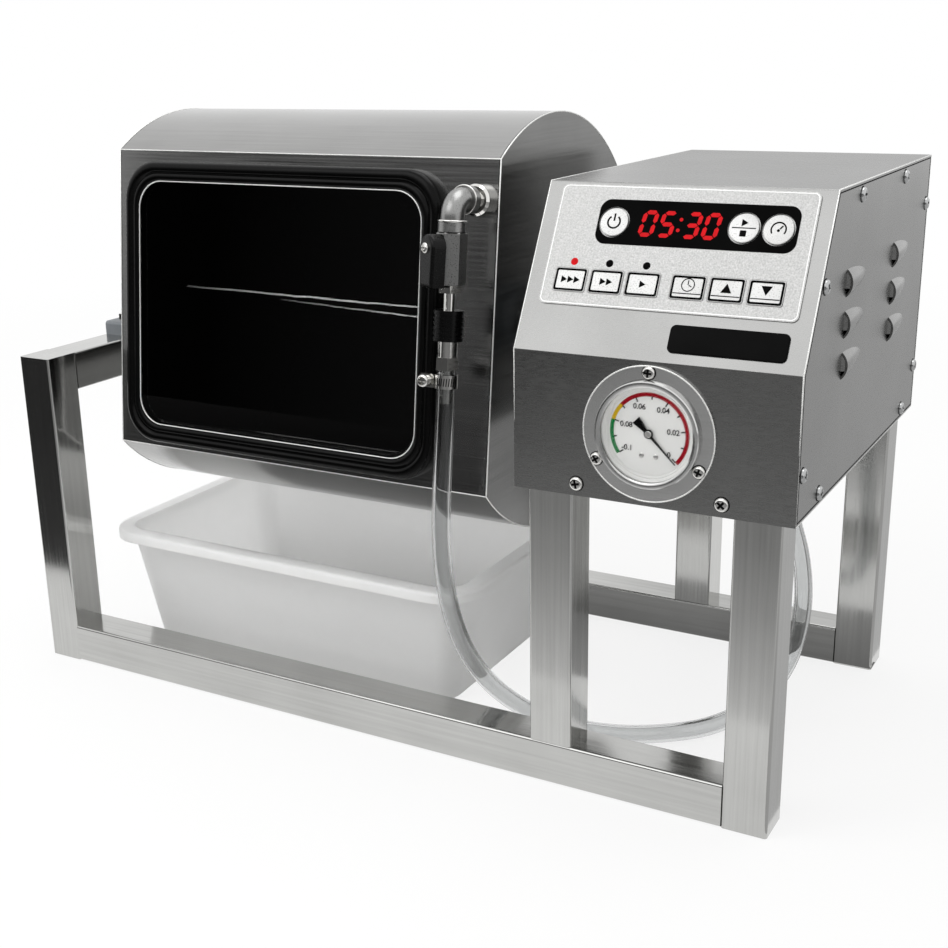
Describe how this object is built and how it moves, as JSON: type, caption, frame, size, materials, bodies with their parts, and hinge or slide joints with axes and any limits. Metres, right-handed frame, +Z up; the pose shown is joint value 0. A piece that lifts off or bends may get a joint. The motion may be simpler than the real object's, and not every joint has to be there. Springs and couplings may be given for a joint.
{
  "type": "meat vacuum tumbler",
  "caption": "Bench-top vacuum tumbler for marinating meat: flat-sided steel drum with a clear door on a tube stand, control box, suction hose and catch tub.",
  "frame": {"origin": "on the floor under the middle of the whole machine", "axes": "+X from the drum to the control box, +Y from the door to the back, +Z up"},
  "size_m": [0.6194, 0.3256, 0.4325],
  "materials": {
    "tube_steel": "polished stainless square tube",
    "drum_steel": "fine brushed stainless sheet",
    "box_steel": "fine brushed stainless sheet",
    "shaft_steel": "ground steel",
    "cast_housing": "grey painted casting",
    "bright_fittings": "nickel plated",
    "seal_rubber": "smooth black rubber",
    "clear_plate": "clear acrylic",
    "clear_hose": "clear soft tube",
    "black_plastic": "moulded black plastic",
    "keypad_film": "silver printed film",
    "key_film": "embossed film",
    "board": "circuit board",
    "dial_enamel": "white enamel",
    "needle_black": "black enamel",
    "gauge_glass": "clear glass",
    "motor_paint": "die-cast housing",
    "tub_plastic": "white polypropylene"
  },
  "bodies": {
    "frame": {"hose": "clear_hose", "box_back_panel": "box_steel", "box_cover": "box_steel", "box_floor_pan": "box_steel", "box_left_cover": "box_steel", "box_right_cover": "box_steel", "control_board": "board", "flange_bearing": "cast_housing", "gauge_bezel": "bright_fittings", "gauge_case": "bright_fittings", "gauge_dial": "dial_enamel", "gauge_glass": "gauge_glass", "gear_motor": "motor_paint", "hose_bulkhead": "bright_fittings", "keypad_overlay": "keypad_film", "mains_gland": "black_plastic", "motor_bracket": "box_steel", "panel_screws": "bright_fittings", "pillow_bearing": "shaft_steel", "pillow_block": "cast_housing", "pillow_bolts": "bright_fittings", "post_back_left": "tube_steel", "post_back_mid": "tube_steel", "post_back_right": "tube_steel", "post_front_left": "tube_steel", "post_front_mid": "tube_steel", "post_front_right": "tube_steel", "rail_back": "tube_steel", "rail_front": "tube_steel", "rail_left": "tube_steel", "vacuum_line": "clear_hose", "vacuum_pump": "motor_paint"},
    "drum": {"drum_shell": "drum_steel", "drum_cap_left": "drum_steel", "drum_cap_right": "drum_steel", "drum_baffles": "drum_steel", "shaft_left": "shaft_steel", "shaft_right": "shaft_steel", "valve_nipple": "bright_fittings", "valve_elbow": "bright_fittings", "valve_body": "bright_fittings", "coupler_plug": "bright_fittings", "coupler_body": "bright_fittings", "hose_clamp": "bright_fittings"},
    "lid": {"lid_plate": "clear_plate", "lid_gasket": "seal_rubber"},
    "valve": {"valve_ball": "bright_fittings", "valve_handle": "black_plastic"},
    "sleeve": {"coupler_sleeve": "black_plastic"},
    "needle": {"gauge_needle": "needle_black"},
    "tub": {"tub": "tub_plastic"},
    "key_power": {"key_power": "key_film"},
    "key_start": {"key_start": "key_film"},
    "key_vacuum": {"key_vacuum": "key_film"},
    "key_fast": {"key_fast": "key_film"},
    "key_medium": {"key_medium": "key_film"},
    "key_slow": {"key_slow": "key_film"},
    "key_time": {"key_time": "key_film"},
    "key_time_up": {"key_time_up": "key_film"},
    "key_time_down": {"key_time_down": "key_film"}
  },
  "joints": [
    {"name": "drum_spin", "type": "hinge", "parent": "frame", "child": "drum", "pos_m": [-0.30965, -0.00525, 0.2825], "axis": [1, 0, 0], "continuous": true, "deforming": ["hose"]},
    {"name": "lid_lift", "type": "slide", "parent": "drum", "child": "lid", "axis": [0, -0.9928, 0.1201], "range_m": [0, 0.034]},
    {"name": "valve_turn", "type": "hinge", "parent": "drum", "child": "valve", "pos_m": [0.06685, -0.13217, 0.35329], "axis": [-0.5, -0.8598, 0.104], "range_deg": [0, 90]},
    {"name": "sleeve_slide", "type": "slide", "parent": "drum", "child": "sleeve", "axis": [0, -0.1201, -0.9928], "range_m": [0, 0.004], "stiffness_N_per_m": 800},
    {"name": "needle_swing", "type": "hinge", "parent": "frame", "child": "needle", "pos_m": [0.21425, -0.15725, 0.2536], "axis": [0, -1, 0], "range_deg": [0, 270], "stiffness_Nm_per_rad": 0.001},
    {"name": "tub_slide", "type": "slide", "parent": "frame", "child": "tub", "axis": [-1, 0, 0], "range_m": [0, 0.36]},
    {"name": "key_power_press", "type": "slide", "parent": "frame", "child": "key_power", "axis": [0, 0.8759, -0.4824], "range_m": [0, 0.0005], "stiffness_N_per_m": 2000},
    {"name": "key_start_press", "type": "slide", "parent": "frame", "child": "key_start", "axis": [0, 0.8759, -0.4824], "range_m": [0, 0.0005], "stiffness_N_per_m": 2000},
    {"name": "key_vacuum_press", "type": "slide", "parent": "frame", "child": "key_vacuum", "axis": [0, 0.8759, -0.4824], "range_m": [0, 0.0005], "stiffness_N_per_m": 2000},
    {"name": "key_fast_press", "type": "slide", "parent": "frame", "child": "key_fast", "axis": [0, 0.8759, -0.4824], "range_m": [0, 0.0005], "stiffness_N_per_m": 2000},
    {"name": "key_medium_press", "type": "slide", "parent": "frame", "child": "key_medium", "axis": [0, 0.8759, -0.4824], "range_m": [0, 0.0005], "stiffness_N_per_m": 2000},
    {"name": "key_slow_press", "type": "slide", "parent": "frame", "child": "key_slow", "axis": [0, 0.8759, -0.4824], "range_m": [0, 0.0005], "stiffness_N_per_m": 2000},
    {"name": "key_time_press", "type": "slide", "parent": "frame", "child": "key_time", "axis": [0, 0.8759, -0.4824], "range_m": [0, 0.0005], "stiffness_N_per_m": 2000},
    {"name": "key_time_up_press", "type": "slide", "parent": "frame", "child": "key_time_up", "axis": [0, 0.8759, -0.4824], "range_m": [0, 0.0005], "stiffness_N_per_m": 2000},
    {"name": "key_time_down_press", "type": "slide", "parent": "frame", "child": "key_time_down", "axis": [0, 0.8759, -0.4824], "range_m": [0, 0.0005], "stiffness_N_per_m": 2000}
  ]
}
